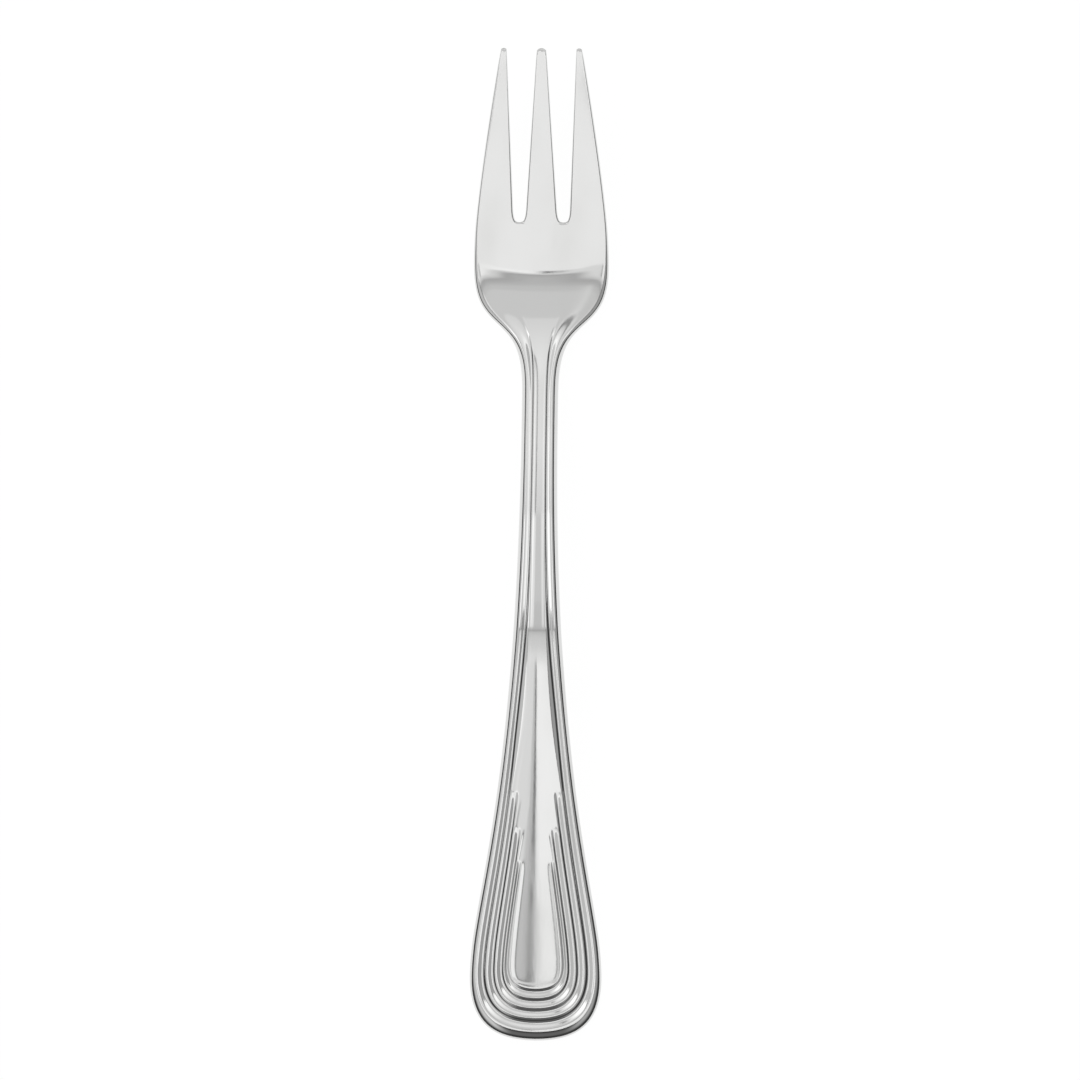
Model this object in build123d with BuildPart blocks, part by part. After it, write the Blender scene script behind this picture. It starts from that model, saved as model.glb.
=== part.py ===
"""Three-tined oyster fork, stamped in one piece from stainless steel plate.

Frame: +Y runs from the handle's end to the tine tips, +X across, +Z up. The fork lies on its
back on the plane Z = 0, with the origin under the middle of its length.
"""

import os
from math import cos, radians, sin, tan

from build123d import *

# Driving dimensions, in millimetres and degrees
overall_length = 146.0

# Outline of the handle, seen from above
handle_width = 19.6
handle_end_depth = 9.5  # from the handle's end to its widest place
end_fullness = 0.71  # how far the end runs straight across before it turns, in half widths
side_fullness = 0.68  # how far the side runs straight before it turns, in end depths
neck_width = 5.4
neck_straight = 6.0  # the neck's parallel stretch below the head
flank_low_fullness = 0.124  # how far the flank stays wide, in flank lengths
flank_high_fullness = 0.658  # how far the flank stays slender, in flank lengths

# Outline of the head, seen from above
head_width = 20.0
shoulder_from_tip = 32.5  # the head's widest place
neck_top_from_tip = 50.0
shoulder_low_pull = 12.5
shoulder_high_pull = 10.5
tip_spread = 12.0  # across the outer tines' tips
head_side_pull = 8.0
head_taper_pull = 10.0
head_taper_angle = 9.5  # lean of the outer tines' sides at the tips

# Tines and the two slots between them
slot_length = 25.7
slot_root_width = 1.6
slot_roundness = 0.4  # root corner radius, in slot widths
middle_tine_root_width = 4.9
middle_tine_tip_width = 1.5
outer_tine_tip_width = 0.95
tip_bluntness = 1.3  # tip radius, in half tip widths

# Side profile of the back: three straight runs joined by the arch and the bowl
handle_angle = 7.0
neck_angle = 15.0
tine_angle = 17.0
heel_from_tip = 38.0  # where the neck's and the tines' straight runs would meet
arch_radius = 90.0
bowl_radius = 30.0

# Thickness along the fork, and the crown or dish of its upper face across the whole die
handle_thickness = 2.0
neck_thickness = 3.0
bowl_thickness = 2.0
tip_thickness = 1.3
handle_crown = 0.5
neck_crown = 4.0
bowl_dish = 0.6
top_round = 0.5
under_round = 0.4
slot_round = 0.25

# Rim along the handle's edge, set off by a groove that runs out into the bowl
rim_width = 1.3
rim_end_width = 2.5
groove_width = 0.4
groove_depth = 0.3
groove_tip_from_tip = 40.0
groove_tip_half_gap = 3.6

# Nested ribs inside the rim, with straight sides along one stretch of the flank
rib_count = 3
rib_radius = 0.45
rib_rise = 0.22  # how far a rib's crest stands above the middle of the handle
rib_low_share = 0.03  # the stretch of the flank, in shares of its length
rib_high_share = 0.34
rib_bend = 0.64  # radius of a rib's lower corners, in half gaps between its sides
first_rib_inset = 2.4  # from the handle's edge to the first rib's middle
first_rib_end_inset = 3.9  # from the handle's end to the first rib's middle
first_rib_reach = 37.0  # from the handle's end to the first rib's tips
rib_pitch = 1.22
rib_end_pitch = 1.4
rib_step = 5.0  # how much lower each rib's tips stand than those of the rib outside it

# Places along the length
end_y = -overall_length / 2
tip_y = overall_length / 2
widest_y = end_y + handle_end_depth
neck_top_y = tip_y - neck_top_from_tip
waist_y = neck_top_y - neck_straight
groove_tip_y = tip_y - groove_tip_from_tip
shoulder_y = tip_y - shoulder_from_tip
slot_root_y = tip_y - slot_length
heel_y = tip_y - heel_from_tip

# Forming dies, which reach past the fork on every side
overrun = 3.0
die_margin = 1.0
die_half_span = max(head_width, handle_width) / 2 + die_margin
die_depth = 6.0
die_height = 30.0
section_count = 41
wall_lean = 0.6  # a face whose normal rises or falls more steeply is no wall

# Short edges that each curve of the outline is made of
end_pieces = 4
flank_pieces = 10
shoulder_pieces = 4
head_pieces = 5
fan_pieces = 2

# Back of the fork in side view
handle_slope = tan(radians(handle_angle))
neck_slope = tan(radians(neck_angle))
tine_slope = tan(radians(tine_angle))
heel_z = bowl_radius * (
    1 - cos(radians((neck_angle - tine_angle) / 2)) / cos(radians((neck_angle + tine_angle) / 2))
)
arch_from_end = (heel_z + neck_slope * (heel_y - end_y)) / (handle_slope + neck_slope)


def back_curve():
    """The back in side view: handle, arch, neck, bowl and tines."""
    return FilletPolyline(
        (end_y - overrun, -overrun * handle_slope),
        (end_y + arch_from_end, arch_from_end * handle_slope),
        (heel_y, heel_z),
        (tip_y + overrun, heel_z + (heel_from_tip + overrun) * tine_slope),
        radius=[arch_radius, bowl_radius],
    )


with BuildLine(Plane.YZ) as back:
    back_curve()
back_line = back.wire()


def ease(y, start, stop):
    """Smooth step along the length, 0 before start and 1 past stop."""
    share = min(1, max(0, (y - start) / (stop - start)))
    return share * share * (3 - 2 * share)


def thickness_at(y):
    """Thickness of the fork along its middle."""
    to_neck = (neck_thickness - handle_thickness) * ease(y, widest_y, waist_y)
    to_bowl = (bowl_thickness - neck_thickness) * ease(y, neck_top_y, shoulder_y)
    to_tip = (tip_thickness - bowl_thickness) * ease(y, shoulder_y, tip_y)
    return handle_thickness + to_neck + to_bowl + to_tip


def crown_at(y):
    """Rise of the upper face from the die's edge to the middle, below zero where it is dished."""
    to_neck = (neck_crown - handle_crown) * ease(y, widest_y, waist_y)
    to_bowl = (-bowl_dish - neck_crown) * ease(y, neck_top_y, shoulder_y)
    return handle_crown + to_neck + to_bowl


def upper_sections(drop=0.0):
    """Cross-sections of all that lies under the upper face, or under a face deeper by the drop."""
    sections = []
    for number in range(section_count):
        share = number / (section_count - 1)
        place = back_line @ share
        middle = thickness_at(place.Y) - drop
        edge = middle - crown_at(place.Y)
        with BuildSketch(Plane(place, x_dir=(1, 0, 0), z_dir=-(back_line % share))) as section:
            with BuildLine():
                Polyline(
                    (die_half_span, edge),
                    (die_half_span, -die_depth),
                    (-die_half_span, -die_depth),
                    (-die_half_span, edge),
                )
                ThreePointArc((-die_half_span, edge), (0, middle), (die_half_span, edge))
            make_face()
        sections.append(section.sketch.face())
    return sections


def end_curve(inset=0.0, end_inset=0.0):
    """Right half of the handle's rounded end, or the same curve drawn in from the edge."""
    half = handle_width / 2 - inset
    depth = handle_end_depth - end_inset
    return Bezier(
        (0, widest_y - depth),
        (end_fullness * half, widest_y - depth),
        (half, widest_y - side_fullness * depth),
        (half, widest_y),
    )


def flank_curve(inset=0.0):
    """Right flank from the handle's widest place to the neck, or drawn in from the edge."""
    wide = handle_width / 2 - inset
    narrow = neck_width / 2 - inset
    run = waist_y - widest_y
    return Bezier(
        (wide, widest_y),
        (wide, widest_y + flank_low_fullness * run),
        (narrow, waist_y - flank_high_fullness * run),
        (narrow, waist_y),
    )


def pieces(curve, count):
    """The same curve as a few shorter edges, so that a mesh follows it closely."""
    return [curve.trim(number / count, (number + 1) / count) for number in range(count)]


def groove_side(inset, end_inset):
    """One side of the rim's groove, from the middle of the handle's end to the bowl."""
    narrow = neck_width / 2 - inset
    fan = Bezier(
        (narrow, neck_top_y),
        (narrow, (neck_top_y + groove_tip_y) / 2),
        (groove_tip_half_gap - inset / 2, groove_tip_y),
    )
    neck = Line((narrow, waist_y), (narrow, neck_top_y))
    return [
        *pieces(end_curve(inset, end_inset), end_pieces),
        *pieces(flank_curve(inset), flank_pieces),
        neck,
        *pieces(fan, fan_pieces),
    ]


def rim_edges(faces, side):
    """Edges between walls and upper faces (side 1) or walls and back (side -1), bar the tips."""
    walls = faces.filter_by(lambda face: abs(face.normal_at().Z) < wall_lean).edges()
    skins = faces.filter_by(lambda face: side * face.normal_at().Z > wall_lean).edges()
    rims = [edge for edge in skins if edge in walls]
    return [edge for edge in rims if (edge @ 0.5).Y < tip_y - overrun]


def slot_edges(faces, side):
    """The rim edges that run along the slots."""
    rims = [edge for edge in rim_edges(faces, side) if abs((edge @ 0.5).X) < tip_spread / 2]
    return [edge for edge in rims if (edge @ 0.5).Y > slot_root_y - slot_root_width]


# Plane of the ribs' middle lines, parallel to the handle's back
rib_plane = Plane(
    (0, end_y, 0),
    x_dir=(1, 0, 0),
    z_dir=(0, -sin(radians(handle_angle)), cos(radians(handle_angle))),
).offset(handle_thickness + rib_rise - rib_radius)
side_low = flank_curve() @ rib_low_share
side_high = flank_curve() @ rib_high_share
side_lean = (side_low.X - side_high.X) / (side_high.Y - side_low.Y)


def rib_half_gap(reach, inset):
    """Half the gap between a rib's two sides, at a reach from the handle's end."""
    return side_low.X - inset - (reach - (side_low.Y - end_y)) * side_lean


# Right half of the blank's outline, from the handle's end to the middle tine's tip
shoulder_curve = Bezier(
    (neck_width / 2, neck_top_y),
    (neck_width / 2, neck_top_y + shoulder_low_pull),
    (head_width / 2, shoulder_y - shoulder_high_pull),
    (head_width / 2, shoulder_y),
)
tip_lean = head_taper_pull * tan(radians(head_taper_angle))
head_curve = Bezier(
    (head_width / 2, shoulder_y),
    (head_width / 2, shoulder_y + head_side_pull),
    (tip_spread / 2 + tip_lean, tip_y - head_taper_pull),
    (tip_spread / 2, tip_y),
)
half_outline = [
    *pieces(end_curve(), end_pieces),
    *pieces(flank_curve(), flank_pieces),
    Line((neck_width / 2, waist_y), (neck_width / 2, neck_top_y)),
    *pieces(shoulder_curve, shoulder_pieces),
    *pieces(head_curve, head_pieces),
    Line((tip_spread / 2, tip_y), (0, tip_y)),
    Line((0, tip_y), (0, end_y)),
]

# The rim's groove, a long U around the handle's end, cut span by span down to its floor
with BuildPart() as groove_floor:
    loft(upper_sections(groove_depth))

groove_spans = []
near_sides = groove_side(rim_width, rim_end_width)
far_sides = groove_side(rim_width + groove_width, rim_end_width + groove_width)
for near_side, far_side in zip(near_sides, far_sides):
    with BuildPart() as span:
        with BuildSketch(Plane.XY.offset(-die_depth)):
            with BuildLine():
                add(near_side)
                add(far_side)
                Line(near_side @ 0, far_side @ 0)
                Line(near_side @ 1, far_side @ 1)
            make_face()
        extrude(amount=die_height + die_depth)
        add(groove_floor.part, mode=Mode.SUBTRACT)
    groove_spans.append(span.part)
    groove_spans.append(mirror(span.part, about=Plane.YZ))

with BuildPart() as fork:
    # Upper face, crowned along the handle and dished across the head
    loft(upper_sections())

    # Back, straight across
    with BuildSketch(Plane.YZ):
        with BuildLine():
            run = back_curve()
            Polyline(run @ 1, (tip_y + overrun, die_height), (end_y - overrun, die_height), run @ 0)
        make_face()
    extrude(amount=die_half_span + overrun, both=True, mode=Mode.INTERSECT)

    # Blanking outline with polished edges
    with BuildSketch(Plane.XY.offset(-die_depth)):
        make_face(half_outline)
        mirror(about=Plane.YZ)
    extrude(amount=die_height + die_depth, clean=False, mode=Mode.INTERSECT)
    fillet(rim_edges(fork.faces(), 1), top_round)
    fillet(rim_edges(fork.faces(), -1), under_round)

    # Two slots between the tines
    with BuildSketch(Plane.XY.offset(-die_depth)) as slots:
        with BuildLine():
            Polyline(
                (middle_tine_root_width / 2, slot_root_y),
                (middle_tine_root_width / 2 + slot_root_width, slot_root_y),
                (tip_spread / 2 - outer_tine_tip_width, tip_y),
                (middle_tine_tip_width / 2, tip_y),
                close=True,
            )
        make_face()
        fillet(slots.vertices().group_by(Axis.Y)[0], slot_roundness * slot_root_width)
        mirror(about=Plane.YZ)
    extrude(amount=die_height + die_depth, clean=False, mode=Mode.SUBTRACT)
    fillet(slot_edges(fork.faces(), 1), slot_round)
    fillet(slot_edges(fork.faces(), -1), slot_round)

    # Blunt, rounded tips
    outer_tip_x = (tip_spread - outer_tine_tip_width) / 2
    for tip_x, tip_width in (
        (-outer_tip_x, outer_tine_tip_width),
        (0, middle_tine_tip_width),
        (outer_tip_x, outer_tine_tip_width),
    ):
        radius = tip_bluntness * tip_width / 2
        with BuildSketch(Plane((tip_x, tip_y - radius, -die_depth))):
            Rectangle(2 * radius + slot_root_width, 2 * radius, align=(Align.CENTER, Align.MIN))
            Circle(radius, mode=Mode.SUBTRACT)
        extrude(amount=die_height + die_depth, clean=False, mode=Mode.SUBTRACT)

    # Nested ribs
    for number in range(rib_count):
        inset = first_rib_inset + number * rib_pitch
        low = first_rib_end_inset + number * rib_end_pitch
        high = first_rib_reach - number * rib_step
        corner = rib_half_gap(low, inset)
        tip = rib_half_gap(high, inset)
        with BuildLine(rib_plane) as rib:
            FilletPolyline(
                (tip, high), (corner, low), (-corner, low), (-tip, high), radius=rib_bend * corner
            )
        with BuildSketch(Plane(rib.line @ 0, z_dir=rib.line % 0)):
            Circle(rib_radius)
        sweep()
        with Locations(rib.line @ 0, rib.line @ 1):
            Sphere(rib_radius)

    # Groove inside the rim
    add(groove_spans, clean=False, mode=Mode.SUBTRACT)

fork.part.label = "oyster_fork"
os.makedirs("parts", exist_ok=True)
export_step(fork.part, "parts/oyster_fork.step")
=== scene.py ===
"""Polished oyster fork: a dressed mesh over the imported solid, its steel, and a plain studio."""

from bisect import bisect_right
from math import cos, exp, pi, radians, sin, sqrt, tan

import bmesh
import bpy
from bpy.props import FloatProperty, FloatVectorProperty, IntProperty, PointerProperty
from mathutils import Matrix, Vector
from mathutils.geometry import interpolate_bezier


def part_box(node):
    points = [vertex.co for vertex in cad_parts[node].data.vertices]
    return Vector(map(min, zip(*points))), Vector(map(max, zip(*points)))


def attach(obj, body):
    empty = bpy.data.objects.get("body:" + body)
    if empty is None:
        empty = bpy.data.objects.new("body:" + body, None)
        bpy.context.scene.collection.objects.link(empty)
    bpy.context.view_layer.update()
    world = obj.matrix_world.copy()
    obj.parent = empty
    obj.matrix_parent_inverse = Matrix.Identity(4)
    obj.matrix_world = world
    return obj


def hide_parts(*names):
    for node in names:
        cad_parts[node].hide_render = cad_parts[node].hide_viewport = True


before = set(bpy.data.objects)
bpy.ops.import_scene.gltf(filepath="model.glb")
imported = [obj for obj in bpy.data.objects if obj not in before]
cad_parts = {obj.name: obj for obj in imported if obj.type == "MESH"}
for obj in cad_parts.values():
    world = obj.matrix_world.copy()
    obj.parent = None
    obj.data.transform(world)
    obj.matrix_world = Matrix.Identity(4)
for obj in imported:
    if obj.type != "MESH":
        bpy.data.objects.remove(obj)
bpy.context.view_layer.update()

bl_info = {
    "name": "Oyster Fork",
    "version": (1, 0, 0),
    "blender": (4, 5, 0),
    "location": "View3D > Sidebar > Oyster Fork",
    "description": "Models a stamped steel oyster fork and the studio that shows it",
    "category": "Add Mesh",
}

NODE = "oyster_fork"
MM = 0.001
LOW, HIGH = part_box(NODE)

# The cage of the upper face: a middle panel, with contours round it
PANEL_COLUMNS = 4
CORNER_ROWS = 3
CORNER_SHARE = 0.57  # where a contour turns from the handle's end to its flank
SAG_ROWS = 6  # rows of the panel that follow the curve of the handle's end, less and less
CURVE_POINTS = 80  # points along each bend of the outline
MERGE = 0.0001  # gap under which the two halves' vertices are one

# Contours outside the middle panel, in millimetres: inset from the flank, inset from the end,
# lift of the handle's surface, share of the neck's half width, reach of the rib or groove
CONTOURS = (
    (5.80, 7.72, 0.10, 0.090, 26.7),
    (5.58, 7.30, -0.18, 0.116, 26.7),
    (5.30, 6.75, 0.06, 0.142, 26.7),
    (5.00, 6.32, 0.16, 0.168, 31.5),
    (4.80, 5.90, -0.24, 0.194, 31.5),
    (4.22, 5.30, 0.06, 0.220, 31.5),
    (3.72, 4.82, 0.16, 0.246, 36.9),
    (3.48, 4.35, -0.26, 0.272, 36.9),
    (2.88, 3.78, 0.06, 0.298, 36.9),
    (2.30, 3.30, 0.15, 0.330, 104.0),
    (2.03, 2.68, -0.38, 0.400, 104.0),
    (1.42, 2.05, -0.02, 0.580, 104.0),
    (0.72, 1.40, 0.14, 0.800, 104.0),
    (0.04, 0.05, -0.42, 0.956, 146.0),
)
RIM_CONTOUR = 9  # the wall that falls to the groove inside the rim
CRESTS = 3, 6, 9  # the ribs' crests
SLOT_CONTOUR = 3  # the middle tine's side

# Relief, in millimetres
NECK_LIFTS = (0.08, -0.26, 0.14, 0.36, -0.10)  # of the rim's contours along the neck
EDGE_DROP = -0.40, -0.15  # fall of the shoulders' edges and of the head's
HANDLE_ROLL, ROLL = 0.04, 0.12  # how far the edge stands out past the last contour
UNDER_ROUND = 0.25  # rounding of the back's edges
CREST_FALL = 0.6  # share of its lift that a crest loses at its rib's tip
CREASE = 0.06, 113.2, 0.8  # depth, reach and breadth of the soft crease between bowl and tines
CREASE_BOW = 0.02  # bow of the crease, in millimetres at one millimetre from the middle
BROW = 0.024, 60.7, 0.6  # rise, reach and breadth of the soft bend where handle turns to neck

# Bends of the outline, as pulls on its curves in millimetres from the handle's end
END_FULLNESS, END_TURN = 0.71, 0.32  # shares of the half width and of the end's depth
FLANK_PULLS = 19.5, 37.0
SHOULDER_PULLS = 108.5, 103.0
HEAD_PULLS = 121.5, 136.0
TIP_LEAN = 1.67  # how much wider the last pull is than the tips

# Places along the fork, and stretches from one to another, in millimetres from the handle's end
WAIST = 90.0  # the flank has become the neck
NECK_TOP = 96.0  # the neck starts to widen into the head
SHOULDER = 113.5  # the head's widest place
TAPER_START = 115.0  # the head starts to thin towards the tips
CROWNING = 20.0, 85.0  # the handle's crown becomes the neck's
DISHING = 96.0, 109.0  # the neck's crown becomes the bowl's dish
GATHERING = 45.0, 85.0  # the rim closes in on the neck
RIM_RISING = 45.0, 80.0  # the rim takes its height on the neck
RIM_FADING = 99.5, 108.0  # rim and groove run out into the bowl
SHOULDER_DROP = 95.0, 101.0  # the neck's edge becomes the shoulders'
HEAD_DROP = 105.0, 114.0  # the shoulders' edge becomes the head's
HEAD_SPREAD = 103.5  # the contours start to spread over the head

# Stretches about a rib's tip: where its crest falls, where it dies out, where its sides close in
CREST_RUNOUT = -0.6, 0.3
RIB_RUNOUT = -1.5, 0.3
RIB_CLOSING = -0.5, 14.0
GATHER = 0.0063  # share by which the insets shrink for each millimetre up the handle

# Tines: shares across the middle tine and an outer one, and the rounding of slots and tips
MIDDLE_STEPS = 0.5, 0.72, 0.88, 1.0
OUTER_STEPS = 0.0, 0.05, 0.16, 0.28, 0.41, 0.55, 0.69, 0.84, 0.96, 1.0
SLOT_CLOSING = 0.24, 0.8  # share of its width by which a slot closes at its root, and over what
TIP_RUN = 2.0  # length over which a tip rounds off
TIP_DEPTH, TIP_SQUARENESS = 1.1, 0.85

# Rows of the cage above the handle's end, in millimetres from that end
SLOT_ROW = 120.55  # the slots' roots
ROWS = (
    13.5, 16.0, 18.5, 21.0, 23.5, 25.2, 26.0, 26.4, 26.7, 27.0, 27.5, 28.4, 29.7, 30.8, 31.2,
    31.5, 31.8, 32.3, 33.3, 34.8, 36.1, 36.6, 36.9, 37.2, 37.8, 39.0, 41.0, 44.0, 47.5, 51.5,
    56.0, 59.4, 60.3, 60.7, 61.1, 62.0, 66.5, 72.5, 78.5, 84.5, 89.5, 93.5, 96.0, 98.2, 100.2,
    102.0, 103.6, 105.2, 106.8, 108.4, 109.8, 111.0, 112.0, 112.6, 113.0, 113.4, 113.8, 114.6,
    116.0, 118.0, 119.4, 120.2, SLOT_ROW, 121.0, 121.7, 123.0, 125.5, 129.0, 133.0, 137.0, 140.5,
    143.0, 144.4, 145.3, 145.95,
)

# Marks on the steel: what each adds to its roughness, and how strongly they show
FILM_ROUGH, LINE_ROUGH, SCUFF_ROUGH, SPECK_ROUGH = 0.05, 0.04, 0.04, 0.03
FILM_COVER = 0.6
LINE_STRENGTH = 0.25
SCUFF_DEPTH = 0.4  # of the polishing lines' height

# Softboxes over the fork: left, right, near and far sides in metres, and radiance
SOFTBOXES = {
    "front": (-0.30, 0.30, -0.55, -0.31, 1.05),
    "near_left": (-0.32, -0.078, -0.31, -0.20, 0.88),
    "near_shade": (-0.078, -0.042, -0.31, -0.20, 0.62),
    "near_right": (-0.024, 0.24, -0.31, -0.20, 1.12),
    "fade_near": (-0.22, 0.24, -0.20, -0.176, 0.92),
    "fade": (-0.22, 0.24, -0.176, -0.152, 0.78),
    "dim_near": (-0.22, 0.22, -0.152, -0.14, 0.62),
    "dim": (-0.22, 0.22, -0.14, -0.118, 0.43),
    "dim_far": (-0.22, 0.22, -0.118, -0.094, 0.50),
    "dim_last": (-0.22, 0.22, -0.094, -0.07, 0.57),
    "over_near": (-0.13, 0.13, -0.07, -0.02, 0.65),
    "over_left": (-0.45, -0.13, -0.07, 0.22, 0.95),
    "over_middle": (-0.13, 0.13, -0.02, 0.22, 0.72),
    "over_right": (0.13, 0.40, -0.07, 0.22, 0.92),
    "far_left": (-0.40, -0.185, 0.22, 0.90, 0.66),
    "far_shade": (-0.185, -0.14, 0.22, 0.90, 0.22),
    "far_right": (-0.14, 0.35, 0.22, 0.90, 0.82),
}
SOFTBOX_HEIGHT = 0.75

# Glow of the air on each side: strength, then the bands in which it grows towards that side,
# grows with height and dies away again with height
AIR_GLOW = 0.05
ALWAYS, NEVER = (-2.0, -1.0), (2.0, 3.0)
SIDE_GLOWS = {
    "west": (0.62, (0.2, 0.45), (0.25, 0.6), NEVER),
    "east": (0.38, (0.2, 0.45), (0.3, 0.65), NEVER),
    "north": (0.3, (0.2, 0.8), ALWAYS, NEVER),
    "south": (0.11, (0.3, 0.6), (0.32, 0.46), (0.6, 0.8)),
}
FLOOR_HALF = 3.0  # half the floor's side, in metres
FLOOR_GLOW, FLOOR_COVER = 1.06, 0.9  # the floor's glow, and its share of what is seen
AIM = 0.20, 1.2, 5.0  # what the camera looks at, in millimetres


def length(label, text, size):
    """A size property, its default given in millimetres."""
    return FloatProperty(
        name=label, description=text, default=size * MM, unit="LENGTH", precision=5
    )


def angle(label, text, degrees):
    """An angle property, its default given in degrees."""
    return FloatProperty(name=label, description=text, default=radians(degrees), subtype="ANGLE")


def colour(label, text, shade):
    """A colour property."""
    return FloatVectorProperty(name=label, description=text, subtype="COLOR", default=shade)


class ForkSizes(bpy.types.PropertyGroup):
    """Sizes of the fork's dressed mesh."""

    handle_width: length("Handle width", "Across the widest place of the handle", 19.6)
    handle_end_depth: length("End depth", "From the handle's end to its widest place", 9.5)
    neck_width: length("Neck width", "Across the slender neck", 5.4)
    head_width: length("Head width", "Across the shoulders of the head", 20.18)
    tip_spread: length("Tip spread", "Across the tips of the outer tines", 12.0)
    slot_length: length("Slot length", "From the root of a slot to the tine tips", 25.45)
    slot_width: length("Slot width", "Across the root of a slot", 1.6)
    middle_root: length("Middle tine root", "Across the middle tine at the slots' roots", 4.9)
    middle_tip: length("Middle tine tip", "Across the middle tine's tip", 1.5)
    outer_tip: length("Outer tine tip", "Across an outer tine's tip", 0.95)
    handle_thickness: length("Handle thickness", "Thickness along the handle's middle", 2.0)
    neck_thickness: length("Neck thickness", "Thickness along the neck's middle", 3.0)
    bowl_thickness: length("Bowl thickness", "Thickness along the bowl's middle", 2.0)
    tip_thickness: length("Tip thickness", "Thickness of the tine tips", 1.3)
    handle_crown: length("Handle crown", "Rise of the handle's face from edge to middle", 0.55)
    neck_crown: length("Neck crown", "Rise of the neck's face from edge to middle", 1.0)
    bowl_dish: length("Bowl dish", "Hollow of the bowl from edge to middle", 0.55)
    arch_radius: length("Arch radius", "Bend between handle and neck in side view", 90.0)
    bowl_radius: length("Bowl radius", "Bend between neck and tines in side view", 30.0)
    heel_from_tip: length("Heel place", "From the tips to where neck and tines would meet", 38.0)
    handle_angle: angle("Handle angle", "Rise of the handle from its end", 7.0)
    neck_angle: angle("Neck angle", "Fall of the neck towards the bowl", 15.0)
    tine_angle: angle("Tine angle", "Rise of the tines from the bowl", 17.0)
    smoothing: IntProperty(
        name="Smoothing", description="Subdivision levels", default=2, min=0, max=3
    )


class SteelFinish(bpy.types.PropertyGroup):
    """Look of the polished steel."""

    colour: colour("Steel", "Clean polished steel", (0.72, 0.72, 0.715))
    film: colour("Film", "Steel under handling marks", (0.63, 0.63, 0.62))
    polish: FloatProperty(
        name="Roughness", description="Roughness where polished", default=0.06, min=0.0, max=1.0
    )
    lines: length("Polishing lines", "Height of the fine lines left by the wheel", 0.004)


class StudioLook(bpy.types.PropertyGroup):
    """Floor and camera."""

    floor_colour: colour("Floor", "Pale floor", (0.86, 0.86, 0.86))
    camera_height: FloatProperty(
        name="Camera height", description="Above the fork", default=1.6, unit="LENGTH"
    )
    view_width: length("View width", "Width of the picture at the fork", 158.75)
    lean: angle("Camera lean", "How far the camera stands to the right", 1.5)
    turn: angle("Camera turn", "Turn of the picture", 0.47)


def ease(value, start, stop):
    """Smooth step, 0 before start and 1 past stop."""
    share = min(1.0, max(0.0, (value - start) / (stop - start)))
    return share * share * (3 - 2 * share)


def mix(first, second, share):
    """Value between two others."""
    return first + (second - first) * share


def swell(value, form):
    """Smooth swelling, given by its rise, place and breadth."""
    rise, place, breadth = form
    return rise * exp(-(((value - place) / breadth) ** 2))


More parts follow.
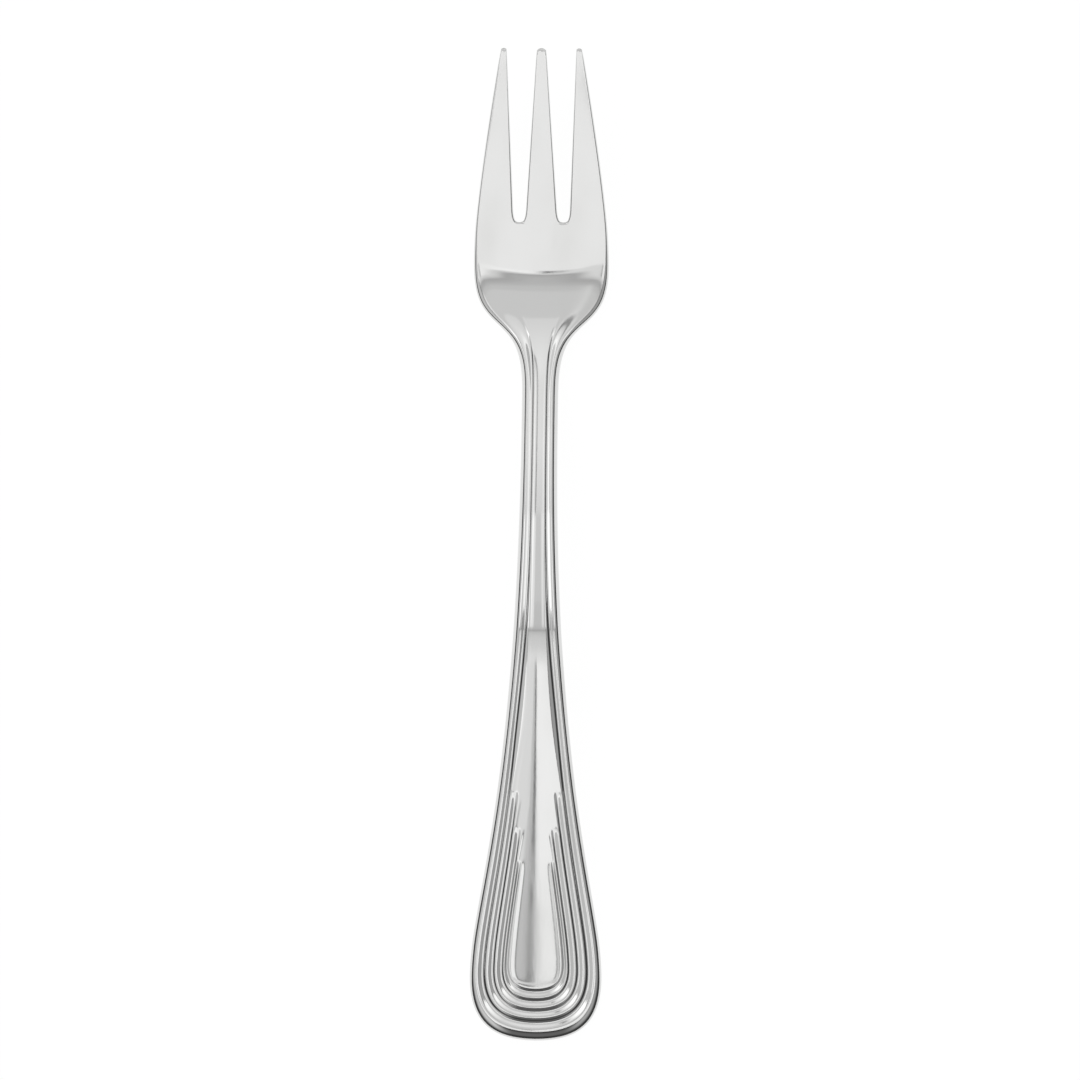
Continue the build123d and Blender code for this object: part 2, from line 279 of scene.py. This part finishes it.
class ForkShape:
    """The fork's outline and side profile, in millimetres from the handle's end."""

    def __init__(self, sizes):
        self.length = (HIGH.y - LOW.y) / MM
        self.handle = sizes.handle_width / MM / 2
        self.end_depth = sizes.handle_end_depth / MM
        self.neck = sizes.neck_width / MM / 2
        self.head = sizes.head_width / MM / 2
        self.tip_edge = sizes.tip_spread / MM / 2
        self.root = self.length - sizes.slot_length / MM
        self.slot_width = sizes.slot_width / MM
        self.middle_root = sizes.middle_root / MM / 2
        self.middle_tip = sizes.middle_tip / MM / 2
        self.outer_tip = sizes.outer_tip / MM
        self.thick = (
            sizes.handle_thickness / MM,
            sizes.neck_thickness / MM,
            sizes.bowl_thickness / MM,
            sizes.tip_thickness / MM,
        )
        self.crown = (sizes.handle_crown / MM, sizes.neck_crown / MM, -sizes.bowl_dish / MM)
        self.arch_radius = sizes.arch_radius / MM
        self.bowl_radius = sizes.bowl_radius / MM
        self.angles = (sizes.handle_angle, sizes.neck_angle, sizes.tine_angle)
        self.heel = self.length - sizes.heel_from_tip / MM
        self.side = self.flank()
        self.reaches = [point.y for point in self.side]

    def flank(self):
        """Points along the right-hand side, from the widest place of the handle to the tip."""
        runs = (
            (
                (self.handle, self.end_depth),
                (self.handle, FLANK_PULLS[0]),
                (self.neck, FLANK_PULLS[1]),
                (self.neck, WAIST),
            ),
            (
                (self.neck, NECK_TOP),
                (self.neck, SHOULDER_PULLS[0]),
                (self.head, SHOULDER_PULLS[1]),
                (self.head, SHOULDER),
            ),
            (
                (self.head, SHOULDER),
                (self.head, HEAD_PULLS[0]),
                (self.tip_edge + TIP_LEAN, HEAD_PULLS[1]),
                (self.tip_edge, self.length),
            ),
        )
        bends = [interpolate_bezier(*map(Vector, run), CURVE_POINTS) for run in runs]
        return [point for bend in bends for point in bend]

    def edge(self, reach):
        """Half width at a reach past the widest place of the handle."""
        place = min(max(bisect_right(self.reaches, reach), 1), len(self.side) - 1)
        low, high = self.side[place - 1], self.side[place]
        gap = high.y - low.y
        return mix(low.x, high.x, (reach - low.y) / gap) if gap else high.x

    def back(self, reach):
        """Height of the back: handle, arch, neck, bowl and tines."""
        rise, fall, climb = self.angles
        lean, turn = (fall - climb) / 2, (fall + climb) / 2
        heel_z = self.bowl_radius * (1 - cos(lean) / cos(turn))
        bowl_middle = self.heel + self.bowl_radius * sin(lean) / cos(turn)
        peak = (heel_z + tan(fall) * self.heel) / (tan(rise) + tan(fall))
        lean, turn = (fall - rise) / 2, (fall + rise) / 2
        arch_middle = peak - self.arch_radius * sin(lean) / cos(turn)
        arch_z = peak * tan(rise) - self.arch_radius * cos(lean) / cos(turn)
        if reach < arch_middle - self.arch_radius * sin(rise):
            return reach * tan(rise)
        if reach < arch_middle + self.arch_radius * sin(fall):
            return arch_z + sqrt(self.arch_radius**2 - (reach - arch_middle) ** 2)
        if reach < bowl_middle - self.bowl_radius * sin(fall):
            return heel_z + (self.heel - reach) * tan(fall)
        if reach < bowl_middle + self.bowl_radius * sin(climb):
            return self.bowl_radius - sqrt(self.bowl_radius**2 - (reach - bowl_middle) ** 2)
        return heel_z + (reach - self.heel) * tan(climb)

    def top(self, across, reach):
        """Height of the plain upper face."""
        handle, neck, bowl, tip = self.thick
        thick = mix(handle, neck, ease(reach, self.end_depth, WAIST))
        thick = mix(thick, bowl, ease(reach, NECK_TOP, SHOULDER))
        taper = (reach - TAPER_START) / (self.length - TAPER_START)
        thick = mix(thick, tip, min(1.0, max(0.0, taper)))
        crown = mix(self.crown[0], self.crown[1], ease(reach, *CROWNING))
        crown = mix(crown, self.crown[2], ease(reach, *DISHING))
        crown = mix(crown, 0.0, ease(reach, self.root, self.length))
        half = self.edge(max(reach, self.end_depth))
        crease = swell(reach - CREASE_BOW * across * across, CREASE) - swell(reach, BROW)
        return self.back(reach) + thick - crease - crown * (across / half) ** 2

    def roll(self, reach):
        """How far the edge stands out past the last contour."""
        return mix(HANDLE_ROLL, ROLL, ease(reach, *GATHERING))

    def tine_side(self, contour, reach):
        """Place of a contour across the tines."""
        share = max(0.0, (reach - self.root) / (self.length - self.root))
        closing, run = SLOT_CLOSING
        close = closing * self.slot_width * (1 - ease(reach, self.root, self.root + run))
        side = mix(self.middle_root, self.middle_tip, share) - ROLL + close
        if contour <= SLOT_CONTOUR:
            return side * MIDDLE_STEPS[contour]
        root, tip = self.middle_root + self.slot_width, self.tip_edge - self.outer_tip
        inner = mix(root, tip, share) + ROLL - close
        outer = self.edge(reach) - ROLL
        return mix(inner, outer, OUTER_STEPS[contour - SLOT_CONTOUR - 1])

    def across(self, contour, reach):
        """Place of a contour across the fork, past the handle's rounded end."""
        if reach >= self.root:
            return self.tine_side(contour, reach)
        inset, _, _, neck_share, tip = CONTOURS[contour]
        half = self.edge(reach)
        inset *= 1 - GATHER * (min(reach, GATHERING[0]) - self.end_depth)
        closing = tip + RIB_CLOSING[0], tip + RIB_CLOSING[1]
        closing = GATHERING if contour >= RIM_CONTOUR else closing
        plain = mix(half - inset, half * neck_share, ease(reach, *closing))
        head = half * self.tine_side(contour, self.root) / self.edge(self.root)
        return mix(plain, head, ease(reach, HEAD_SPREAD, self.root))

    def lift(self, contour, reach):
        """Relief of a contour over the plain upper face."""
        _, _, rise, _, tip = CONTOURS[contour]
        if contour in CRESTS:
            own_tip = CONTOURS[contour - 1][-1]
            fall = ease(reach, own_tip + CREST_RUNOUT[0], own_tip + CREST_RUNOUT[1])
            rise *= 1 - CREST_FALL * fall
        if contour < RIM_CONTOUR:
            return rise * (1 - ease(reach, tip + RIB_RUNOUT[0], tip + RIB_RUNOUT[1]))
        rise = mix(rise, NECK_LIFTS[contour - RIM_CONTOUR], ease(reach, *RIM_RISING))
        if contour < len(CONTOURS) - 1:
            return rise * (1 - ease(reach, *RIM_FADING))
        rise = mix(rise, EDGE_DROP[0], ease(reach, *SHOULDER_DROP))
        return mix(rise, EDGE_DROP[1], ease(reach, *HEAD_DROP))

    def end_point(self, contour, share):
        """Point of a contour round the handle's end, from the middle to the flank."""
        inset, end_inset = CONTOURS[contour][:2]
        half = self.handle - inset
        depth = half * self.end_depth / self.handle
        bend = (
            (0.0, end_inset),
            (END_FULLNESS * half, end_inset),
            (half, end_inset + END_TURN * depth),
            (half, end_inset + depth),
        )
        rest = 1 - share
        weights = rest**3, 3 * rest**2 * share, 3 * rest * share**2, share**3
        return Vector([sum(w * point[axis] for w, point in zip(weights, bend)) for axis in (0, 1)])

    def contour_point(self, contour, station):
        """Point of a contour at a station counted from the middle of the handle's end."""
        corner = PANEL_COLUMNS + CORNER_ROWS
        if station <= PANEL_COLUMNS:
            place = self.end_point(contour, CORNER_SHARE * station / PANEL_COLUMNS)
        elif station <= corner:
            turned = (station - PANEL_COLUMNS) / CORNER_ROWS
            place = self.end_point(contour, mix(CORNER_SHARE, 1.0, turned))
        else:
            reach = ROWS[station - corner - 1]
            place = Vector((self.across(contour, reach), reach))
        return self.raised(place, self.lift(contour, place.y))

    def raised(self, place, lift):
        """Point on the upper face over a place in plan, with the tine tips rounded."""
        height = self.top(place.x, place.y) + lift
        return Vector((place.x, place.y - self.tip_round(place), height))

    def tip_round(self, place):
        """How far a tip's corner falls back from the tip's front."""
        if place.y < self.length - TIP_RUN:
            return 0.0
        middle = self.tip_edge - self.outer_tip / 2
        offset, half = place.x, self.middle_tip
        if place.x >= middle / 2:
            offset, half = place.x - middle, self.outer_tip / 2
        share = min(1.0, abs(offset) / half)
        fade = ease(place.y, self.length - TIP_RUN, self.length)
        fall = TIP_DEPTH * half * (1 - sqrt(1 - TIP_SQUARENESS * share * share))
        return fade * (ROLL + fall)

    def panel_point(self, column, row):
        """Point of the middle panel, which runs on as the crest of neck and middle tine."""
        if row == 0:
            return self.contour_point(0, column)
        side = self.contour_point(0, PANEL_COLUMNS + row)
        if column == PANEL_COLUMNS:
            return side
        bottom = self.end_point(0, CORNER_SHARE * column / PANEL_COLUMNS)
        corner = self.end_point(0, CORNER_SHARE)
        sag = (bottom.y - corner.y) * max(0.0, 1 - row / SAG_ROWS)
        reach = ROWS[row - CORNER_ROWS - 1] if row > CORNER_ROWS else side.y
        return self.raised(Vector((side.x * bottom.x / corner.x, reach + sag)), 0.0)


def chain_edges(mesh, chain):
    """Edges that join a row of vertices."""
    return [mesh.edges.get(pair) for pair in zip(chain, chain[1:])]


def vertices(geometry):
    """Vertices among the things that a mesh operator made."""
    return {vert for vert in geometry if isinstance(vert, bmesh.types.BMVert)}


def partner(vert, fresh):
    """The new vertex that was drawn out of an old one."""
    return next(e.other_vert(vert) for e in vert.link_edges if e.other_vert(vert) in fresh)


def grow_contour(mesh, chain, shape, contour):
    """Extrude the rim of the surface and lay its new vertices on the next contour."""
    grown = bmesh.ops.extrude_edge_only(mesh, edges=chain_edges(mesh, chain))
    fresh = vertices(grown["geom"])
    outer = [partner(vert, fresh) for vert in chain]
    for station, vert in enumerate(outer):
        vert.co = shape.contour_point(contour, station)
    return outer


def upper_face(mesh, shape):
    """Right half of the upper face: a panel grid, then one ring of faces for each contour."""
    rows = CORNER_ROWS + len(ROWS)
    panel = bmesh.ops.create_grid(mesh, x_segments=PANEL_COLUMNS, y_segments=rows, size=1.0)
    places = {}
    for vert in panel["verts"]:
        column = round((vert.co.x + 1) / 2 * PANEL_COLUMNS)
        row = round((vert.co.y + 1) / 2 * rows)
        places[column, row] = vert
    for (column, row), vert in places.items():
        vert.co = shape.panel_point(column, row)
    chain = [places[column, 0] for column in range(PANEL_COLUMNS)]
    chain += [places[PANEL_COLUMNS, row] for row in range(rows + 1)]
    for contour in range(1, len(CONTOURS)):
        chain = grow_contour(mesh, chain, shape, contour)
        if contour == SLOT_CONTOUR + 1:
            first = PANEL_COLUMNS + CORNER_ROWS + 1 + ROWS.index(SLOT_ROW)
            slot = [edge.link_faces[0] for edge in chain_edges(mesh, chain[first:])]
    bmesh.ops.delete(mesh, geom=slot, context="FACES")


def outward(edges):
    """Direction away from the surface, in plan, at each vertex of its border."""
    ways = {}
    for edge in edges:
        loop = edge.link_loops[0]
        run = loop.link_loop_next.vert.co - loop.vert.co
        way = Vector((run.y, -run.x, 0.0)).normalized()
        for vert in edge.verts:
            ways[vert] = ways.get(vert, Vector()) + way
    return {vert: way.normalized() for vert, way in ways.items()}


def border(geometry):
    """Border edges of a surface."""
    return [item for item in geometry if isinstance(item, bmesh.types.BMEdge) and item.is_boundary]


def add_back(mesh, shape):
    """Close the fork with its straight back and rounded walls."""
    top_edges = border(mesh.edges)
    ways = outward(top_edges)
    copy = bmesh.ops.duplicate(mesh, geom=mesh.verts[:] + mesh.edges[:] + mesh.faces[:])
    back_edges = border(copy["geom"])
    back_rim = {vert for edge in back_edges for vert in edge.verts}
    for vert in vertices(copy["geom"]):
        vert.co.z = shape.back(vert.co.y) + (UNDER_ROUND if vert in back_rim else 0.0)
    wall = bmesh.ops.extrude_edge_only(mesh, edges=top_edges)
    fresh = vertices(wall["geom"])
    for vert, way in ways.items():
        middle = partner(vert, fresh)
        foot = shape.back(vert.co.y) + UNDER_ROUND
        middle.co = vert.co + way * shape.roll(vert.co.y)
        middle.co.z = mix(vert.co.z, foot, 0.5)
    bmesh.ops.bridge_loops(mesh, edges=border(wall["geom"]) + back_edges)


def new_piece(name, mesh, material):
    """Object made from a finished bmesh."""
    data = bpy.data.meshes.new(name)
    mesh.to_mesh(data)
    mesh.free()
    piece = bpy.data.objects.new(name, data)
    bpy.context.scene.collection.objects.link(piece)
    data.materials.append(material)
    return piece


class Finish:
    """A socket in a node tree, with the operators that shader maths needs."""

    def __init__(self, tree, socket=None):
        self.tree = tree
        self.socket = socket

    def node(self, kind, settings=None, sockets=None, output=0):
        """Add a node, set it up, fill or link its sockets and wrap one of its outputs."""
        node = self.tree.nodes.new(kind)
        for name, value in (settings or {}).items():
            setattr(node, name, value)
        for name, value in (sockets or {}).items():
            if isinstance(value, Finish):
                self.tree.links.new(value.socket, node.inputs[name])
            else:
                node.inputs[name].default_value = value
        return Finish(self.tree, node.outputs[output]) if node.outputs else None

    def maths(self, operation, first, second):
        """Sum, difference or product of two values."""
        return self.node("ShaderNodeMath", {"operation": operation}, {0: first, 1: second})

    def __add__(self, other):
        return self.maths("ADD", self, other)

    def __radd__(self, other):
        return self.maths("ADD", other, self)

    def __rsub__(self, other):
        return self.maths("SUBTRACT", other, self)

    def __mul__(self, other):
        return self.maths("MULTIPLY", self, other)

    def __rmul__(self, other):
        return self.maths("MULTIPLY", other, self)

    def band(self, low, high):
        """Smooth mask, 0 below low and 1 above high."""
        return self.node(
            "ShaderNodeMapRange",
            {"interpolation_type": "SMOOTHSTEP"},
            {"Value": self, "From Min": low, "From Max": high},
        )


def new_material(name):
    """Empty node material and the start of its expressions."""
    material = bpy.data.materials.new(name)
    material.use_nodes = True
    material.node_tree.nodes.clear()
    return material, Finish(material.node_tree)


def steel_material(look):
    """Polished stainless steel with fine polishing lines, handling film and faint scratches."""
    material, shade = new_material("polished_steel")
    place = shade.node("ShaderNodeTexCoord", output="Object")

    def cloud(scale, detail, stretch=(1.0, 1.0, 1.0)):
        """Noise over the steel, drawn out where its stretch is small."""
        spot = shade.node("ShaderNodeMapping", None, {"Vector": place, "Scale": stretch})
        sockets = {"Vector": spot, "Scale": scale, "Detail": detail}
        return shade.node("ShaderNodeTexNoise", None, sockets)

    lines = cloud(scale=900.0, detail=3.0, stretch=(3.2, 0.06, 3.2))
    film = cloud(scale=55.0, detail=3.0, stretch=(1.0, 0.55, 1.0)).band(0.48, 0.72)
    specks = cloud(scale=700.0, detail=2.0).band(0.66, 0.8)
    scuffs = cloud(scale=160.0, detail=4.0, stretch=(2.4, 0.16, 2.4)).band(0.58, 0.78)
    tints = {0: film * FILM_COVER, 6: (*look.colour, 1.0), 7: (*look.film, 1.0)}
    tint = shade.node("ShaderNodeMix", {"data_type": "RGBA"}, tints, 2)
    rough = look.polish + FILM_ROUGH * film + LINE_ROUGH * lines
    rough = rough + SCUFF_ROUGH * scuffs + SPECK_ROUGH * specks
    relief = {"Strength": LINE_STRENGTH, "Distance": look.lines}
    relief["Height"] = lines + SCUFF_DEPTH * scuffs
    bump = shade.node("ShaderNodeBump", None, relief)
    surface = {"Base Color": tint, "Metallic": 1.0, "Roughness": rough, "Normal": bump}
    steel = shade.node("ShaderNodeBsdfPrincipled", None, surface)
    shade.node("ShaderNodeOutputMaterial", None, {"Surface": steel})
    return material


def floor_material(look):
    """Pale matt floor that the camera and the steel see as near white."""
    material, shade = new_material("pale_floor")
    seen = shade.node("ShaderNodeLightPath", output="Is Camera Ray")
    seen = seen + shade.node("ShaderNodeLightPath", output="Is Glossy Ray")
    seen = seen + shade.node("ShaderNodeLightPath", output="Is Transmission Ray")
    matt = shade.node("ShaderNodeBsdfDiffuse", None, {"Color": (*look.floor_colour, 1.0)})
    light = {"Color": (1.0, 1.0, 1.0, 1.0), "Strength": FLOOR_GLOW}
    glow = shade.node("ShaderNodeEmission", None, light)
    both = shade.node("ShaderNodeMixShader", None, {0: seen * FLOOR_COVER, 1: matt, 2: glow})
    shade.node("ShaderNodeOutputMaterial", None, {"Surface": both})
    return material


def studio_air():
    """World that is dark low down, so that steep walls show as dark lines in the steel."""
    world = bpy.data.worlds.new("studio")
    world.use_nodes = True
    world.node_tree.nodes.clear()
    air = Finish(world.node_tree)
    way = air.node("ShaderNodeTexCoord", output="Generated")
    east, north, up = [
        air.node("ShaderNodeSeparateXYZ", None, {"Vector": way}, axis) for axis in range(3)
    ]
    sides = {"west": -1 * east, "east": east, "north": north, "south": -1 * north}
    glow = AIR_GLOW
    for side, (strength, spread, growth, decay) in SIDE_GLOWS.items():
        height = up.band(*growth) * (1 - up.band(*decay))
        glow = glow + strength * sides[side].band(*spread) * height
    light = {"Color": (1.0, 1.0, 1.0, 1.0), "Strength": glow}
    backdrop = air.node("ShaderNodeBackground", None, light)
    air.node("ShaderNodeOutputWorld", None, {"Surface": backdrop})
    return world


def hang_softbox(name, left, right, near, far, radiance):
    """Rectangular lamp that shines straight down."""
    lamp = bpy.data.lights.new(name, "AREA")
    lamp.shape = "RECTANGLE"
    lamp.size, lamp.size_y = right - left, far - near
    lamp.energy = radiance * pi * lamp.size * lamp.size_y
    holder = bpy.data.objects.new(name, lamp)
    holder.location = ((left + right) / 2, (near + far) / 2, SOFTBOX_HEIGHT)
    bpy.context.scene.collection.objects.link(holder)


class OYSTERFORK_OT_form_fork(bpy.types.Operator):
    """Model the one-piece fork and give it its steel"""

    bl_idname = "oysterfork.form_fork"
    bl_label = "Form fork"

    def execute(self, context):
        sizes = context.scene.oyster_fork_sizes
        shape = ForkShape(sizes)
        mesh = bmesh.new()
        upper_face(mesh, shape)
        everything = mesh.verts[:] + mesh.edges[:] + mesh.faces[:]
        bmesh.ops.mirror(mesh, geom=everything, axis="X", merge_dist=MERGE)
        bmesh.ops.recalc_face_normals(mesh, faces=mesh.faces)
        mesh.normal_update()
        if sum(face.normal.z for face in mesh.faces) < 0:
            bmesh.ops.reverse_faces(mesh, faces=mesh.faces)
        add_back(mesh, shape)
        bmesh.ops.recalc_face_normals(mesh, faces=mesh.faces)
        if not all(edge.is_manifold for edge in mesh.edges):
            raise RuntimeError("the fork's mesh isn't closed")
        bmesh.ops.translate(mesh, vec=(0.0, LOW.y / MM, 0.0), verts=mesh.verts)
        bmesh.ops.scale(mesh, vec=(MM, MM, MM), verts=mesh.verts)
        for face in mesh.faces:
            face.smooth = True
        piece = new_piece("fork_steel", mesh, steel_material(context.scene.oyster_fork_steel))
        rounding = piece.modifiers.new("Rounding", "SUBSURF")
        rounding.levels = rounding.render_levels = sizes.smoothing
        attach(piece, "root")
        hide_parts(NODE)
        return {"FINISHED"}


class OYSTERFORK_OT_set_stage(bpy.types.Operator):
    """Lay the pale floor, hang the softboxes and place the camera"""

    bl_idname = "oysterfork.set_stage"
    bl_label = "Set stage"

    def execute(self, context):
        look = context.scene.oyster_fork_studio
        mesh = bmesh.new()
        bmesh.ops.create_grid(mesh, x_segments=1, y_segments=1, size=FLOOR_HALF)
        new_piece("floor", mesh, floor_material(look))
        for name, sides in SOFTBOXES.items():
            hang_softbox(name, *sides)
        context.scene.world = studio_air()
        camera = bpy.data.cameras.new("camera")
        camera.lens = camera.sensor_width * look.camera_height / look.view_width
        eye = bpy.data.objects.new("camera", camera)
        back = Vector((sin(look.lean), 0.0, cos(look.lean)))
        eye.location = Vector(AIM) * MM + back * look.camera_height
        eye.rotation_euler = (0.0, look.lean, look.turn)
        context.scene.collection.objects.link(eye)
        context.scene.camera = eye
        context.scene.view_settings.view_transform = "Standard"
        return {"FINISHED"}


class OYSTERFORK_PT_panel(bpy.types.Panel):
    """Sizes, finish and studio of the oyster fork"""

    bl_idname = "OYSTERFORK_PT_panel"
    bl_label = "Oyster Fork"
    bl_space_type = "VIEW_3D"
    bl_region_type = "UI"
    bl_category = "Oyster Fork"

    def draw(self, context):
        scene = context.scene
        groups = scene.oyster_fork_sizes, scene.oyster_fork_steel, scene.oyster_fork_studio
        for group in groups:
            for name in group.__annotations__:
                self.layout.prop(group, name)
        self.layout.operator(OYSTERFORK_OT_form_fork.bl_idname)
        self.layout.operator(OYSTERFORK_OT_set_stage.bl_idname)


CLASSES = (
    ForkSizes,
    SteelFinish,
    StudioLook,
    OYSTERFORK_OT_form_fork,
    OYSTERFORK_OT_set_stage,
    OYSTERFORK_PT_panel,
)


def register():
    for item in CLASSES:
        bpy.utils.register_class(item)
    bpy.types.Scene.oyster_fork_sizes = PointerProperty(type=ForkSizes)
    bpy.types.Scene.oyster_fork_steel = PointerProperty(type=SteelFinish)
    bpy.types.Scene.oyster_fork_studio = PointerProperty(type=StudioLook)


def unregister():
    del bpy.types.Scene.oyster_fork_studio
    del bpy.types.Scene.oyster_fork_steel
    del bpy.types.Scene.oyster_fork_sizes
    for item in reversed(CLASSES):
        bpy.utils.unregister_class(item)


def main():
    register()
    bpy.ops.oysterfork.form_fork()
    bpy.ops.oysterfork.set_stage()


if __name__ == "__main__":
    main()
